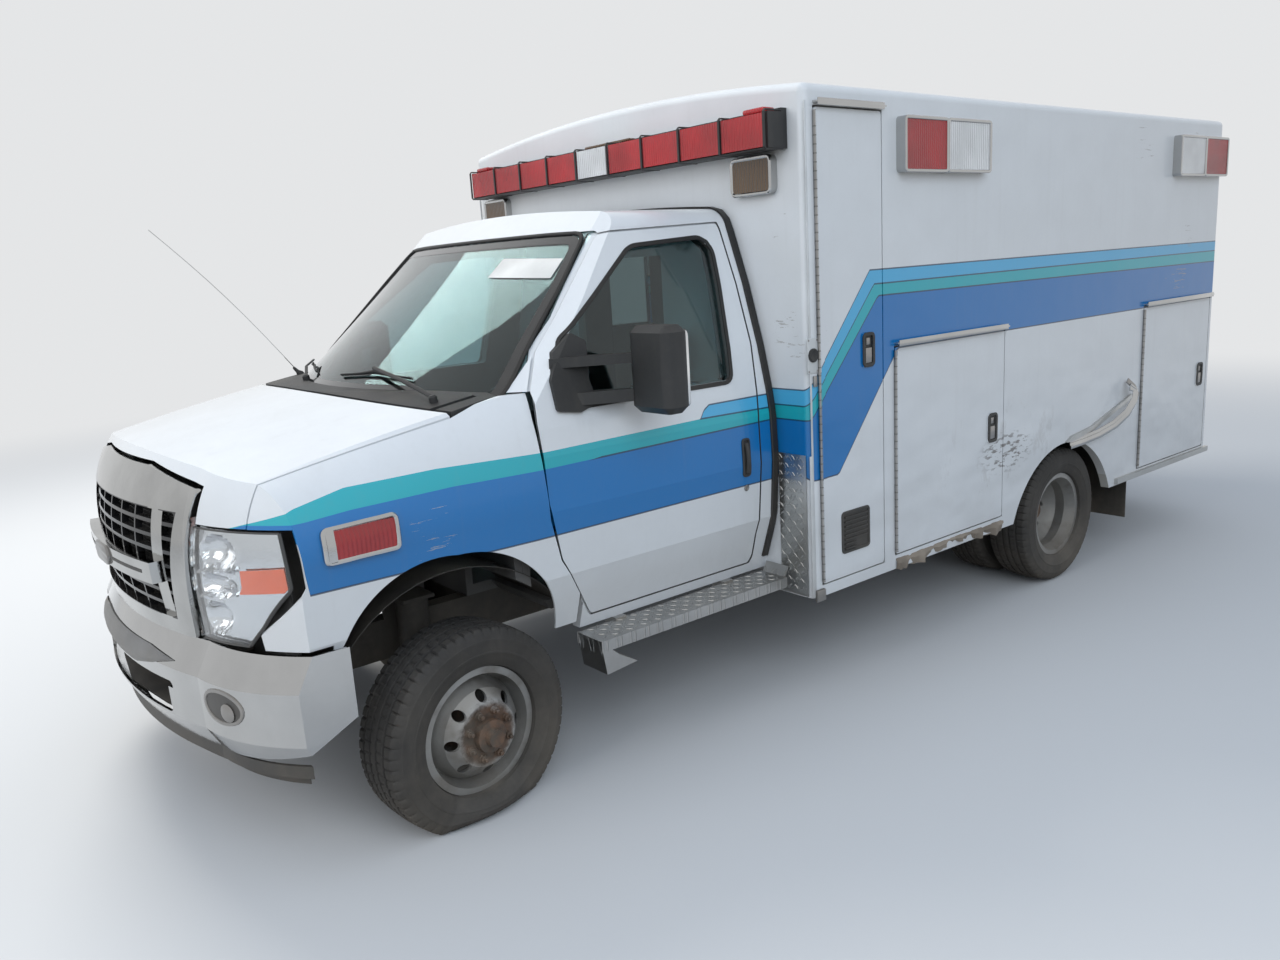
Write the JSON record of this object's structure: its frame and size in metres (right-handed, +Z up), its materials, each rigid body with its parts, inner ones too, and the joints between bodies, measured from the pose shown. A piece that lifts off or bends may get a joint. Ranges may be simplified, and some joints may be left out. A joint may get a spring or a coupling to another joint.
{
  "type": "box-body ambulance",
  "caption": "Ambulance with a square box body on a van cab, with opening doors, lockers and bonnet, steered front wheels and twin rear wheels.",
  "frame": {"origin": "middle of the length and width, on the ground under the tyres", "axes": "+X forward, +Y to the vehicle's left, +Z up"},
  "size_m": [6.2557, 2.52, 2.4948],
  "materials": {
    "black_steel": "matt chassis black with road dirt",
    "underbody_steel": "dull coated steel",
    "cast_block": "raw casting",
    "cab_paint": "gloss white with blue stripes",
    "box_paint": "gloss white with blue stripes",
    "bare_aluminium": "mill finish",
    "cabinet_laminate": "pale laminate",
    "tinted_glass": "lightly tinted",
    "black_plastic": "grained",
    "seat_cloth": "grey woven cloth",
    "chrome_trim": "bright, dusty",
    "clear_lens": "clear lens over reflector",
    "red_lens": "ribbed red lens",
    "amber_lens": "smoked amber lens",
    "tread_plate": "raised tread pattern",
    "flap_rubber": "flat black",
    "tyre_rubber": "dusty",
    "wheel_paint": "silver paint, rust at the hub"
  },
  "bodies": {
    "body": {"chassis_frame": "black_steel", "engine_block": "cast_block", "radiator": "cast_block", "front_axle": "black_steel", "rear_axle": "black_steel", "tank_and_exhaust": "underbody_steel", "cab_shell": "cab_paint", "cab_floor": "cab_paint", "front_fenders": "cab_paint", "cowl": "black_plastic", "grille": "chrome_trim", "headlamps": "clear_lens", "front_bumper": "chrome_trim", "air_dam": "black_plastic", "windshield": "tinted_glass", "running_boards": "tread_plate", "dashboard": "black_plastic", "cab_seats": "seat_cloth", "box_floor": "bare_aluminium", "box_side_walls": "box_paint", "box_front_wall": "box_paint", "box_rear_wall": "box_paint", "box_roof": "box_paint", "locker_liners": "bare_aluminium", "cabinets": "cabinet_laminate", "light_bar": "black_plastic", "red_lamps": "red_lens", "clear_lamps": "clear_lens", "amber_lamps": "amber_lens", "box_trim": "tread_plate", "rear_step": "tread_plate", "mud_flaps": "flap_rubber"},
    "hood": {"hood": "cab_paint"},
    "cab_door_left": {"cab_door_left": "cab_paint", "door_glass_left": "tinted_glass", "mirror_left": "black_plastic"},
    "cab_door_right": {"cab_door_right": "cab_paint", "door_glass_right": "tinted_glass", "mirror_right": "black_plastic"},
    "front_locker_door_left": {"front_locker_door_left": "box_paint"},
    "middle_locker_door_left": {"middle_locker_door_left": "box_paint"},
    "rear_locker_door_left": {"rear_locker_door_left": "box_paint"},
    "front_locker_door_right": {"front_locker_door_right": "box_paint"},
    "rear_locker_door_right": {"rear_locker_door_right": "box_paint"},
    "entry_door_right": {"entry_door_right": "box_paint", "entry_door_glass": "tinted_glass"},
    "rear_door_left": {"rear_door_left": "box_paint", "rear_door_glass_left": "tinted_glass"},
    "rear_door_right": {"rear_door_right": "box_paint", "rear_door_glass_right": "tinted_glass"},
    "knuckle_left": {"knuckle_left": "black_steel"},
    "wheel_front_left": {"rim_front_left": "wheel_paint", "tyre_front_left": "tyre_rubber"},
    "wheels_rear_left": {"rims_rear_left": "wheel_paint", "tyres_rear_left": "tyre_rubber"},
    "knuckle_right": {"knuckle_right": "black_steel"},
    "wheel_front_right": {"rim_front_right": "wheel_paint", "tyre_front_right": "tyre_rubber"},
    "wheels_rear_right": {"rims_rear_right": "wheel_paint", "tyres_rear_right": "tyre_rubber"}
  },
  "joints": [
    {"name": "steer_left", "type": "hinge", "parent": "body", "child": "knuckle_left", "pos_m": [2.2875, 0.7, 0.3], "axis": [0, 0, 1], "range_deg": [-41, 29]},
    {"name": "spin_front_left", "type": "hinge", "parent": "knuckle_left", "child": "wheel_front_left", "pos_m": [2.269, 0.87603, 0.3], "axis": [-0.1045, 0.9945, 0], "continuous": true},
    {"name": "spin_rear_left", "type": "hinge", "parent": "body", "child": "wheels_rear_left", "pos_m": [-1.2175, 0.887, 0.362], "axis": [0, 1, 0], "continuous": true},
    {"name": "open_cab_door_left", "type": "hinge", "parent": "body", "child": "cab_door_left", "pos_m": [1.9795, 0.982, 1.06], "axis": [0, 0, -1], "range_deg": [0, 65]},
    {"name": "open_rear_door_left", "type": "hinge", "parent": "body", "child": "rear_door_left", "pos_m": [-2.9048, 0.623, 1.5], "axis": [0, 0, -1], "range_deg": [0, 110]},
    {"name": "steer_right", "type": "hinge", "parent": "body", "child": "knuckle_right", "pos_m": [2.2875, -0.7, 0.362], "axis": [0, 0, 1], "range_deg": [-41, 29]},
    {"name": "spin_front_right", "type": "hinge", "parent": "knuckle_right", "child": "wheel_front_right", "pos_m": [2.306, -0.87603, 0.362], "axis": [-0.1045, 0.9945, 0], "continuous": true},
    {"name": "spin_rear_right", "type": "hinge", "parent": "body", "child": "wheels_rear_right", "pos_m": [-1.2175, -0.887, 0.362], "axis": [0, 1, 0], "continuous": true},
    {"name": "open_cab_door_right", "type": "hinge", "parent": "body", "child": "cab_door_right", "pos_m": [1.9795, -0.982, 1.06], "axis": [0, 0, 1], "range_deg": [0, 65]},
    {"name": "open_rear_door_right", "type": "hinge", "parent": "body", "child": "rear_door_right", "pos_m": [-2.9048, -0.623, 1.5], "axis": [0, 0, 1], "range_deg": [0, 110]},
    {"name": "open_hood", "type": "hinge", "parent": "body", "child": "hood", "pos_m": [2.0875, 0, 1.345], "axis": [0, -1, 0], "range_deg": [0, 50]},
    {"name": "open_front_locker_door_left", "type": "hinge", "parent": "body", "child": "front_locker_door_left", "pos_m": [0.7595, 1.1883, 1.4125], "axis": [0, 0, -1], "range_deg": [0, 100]},
    {"name": "open_middle_locker_door_left", "type": "hinge", "parent": "body", "child": "middle_locker_door_left", "pos_m": [0.2775, 1.1883, 0.952], "axis": [0, 0, -1], "range_deg": [0, 100]},
    {"name": "open_rear_locker_door_left", "type": "hinge", "parent": "body", "child": "rear_locker_door_left", "pos_m": [-1.9745, 1.1883, 0.946], "axis": [0, 0, -1], "range_deg": [0, 100]},
    {"name": "open_front_locker_door_right", "type": "hinge", "parent": "body", "child": "front_locker_door_right", "pos_m": [0.7595, -1.1883, 1.4125], "axis": [0, 0, 1], "range_deg": [0, 100]},
    {"name": "open_entry_door_right", "type": "hinge", "parent": "body", "child": "entry_door_right", "pos_m": [0.2505, -1.1883, 1.29], "axis": [0, 0, 1], "range_deg": [0, 100]},
    {"name": "open_rear_locker_door_right", "type": "hinge", "parent": "body", "child": "rear_locker_door_right", "pos_m": [-1.9745, -1.1883, 0.946], "axis": [0, 0, 1], "range_deg": [0, 100]}
  ],
  "couplings": [
    {"joint": "steer_right", "follows": "steer_left", "ratio": 1}
  ]
}
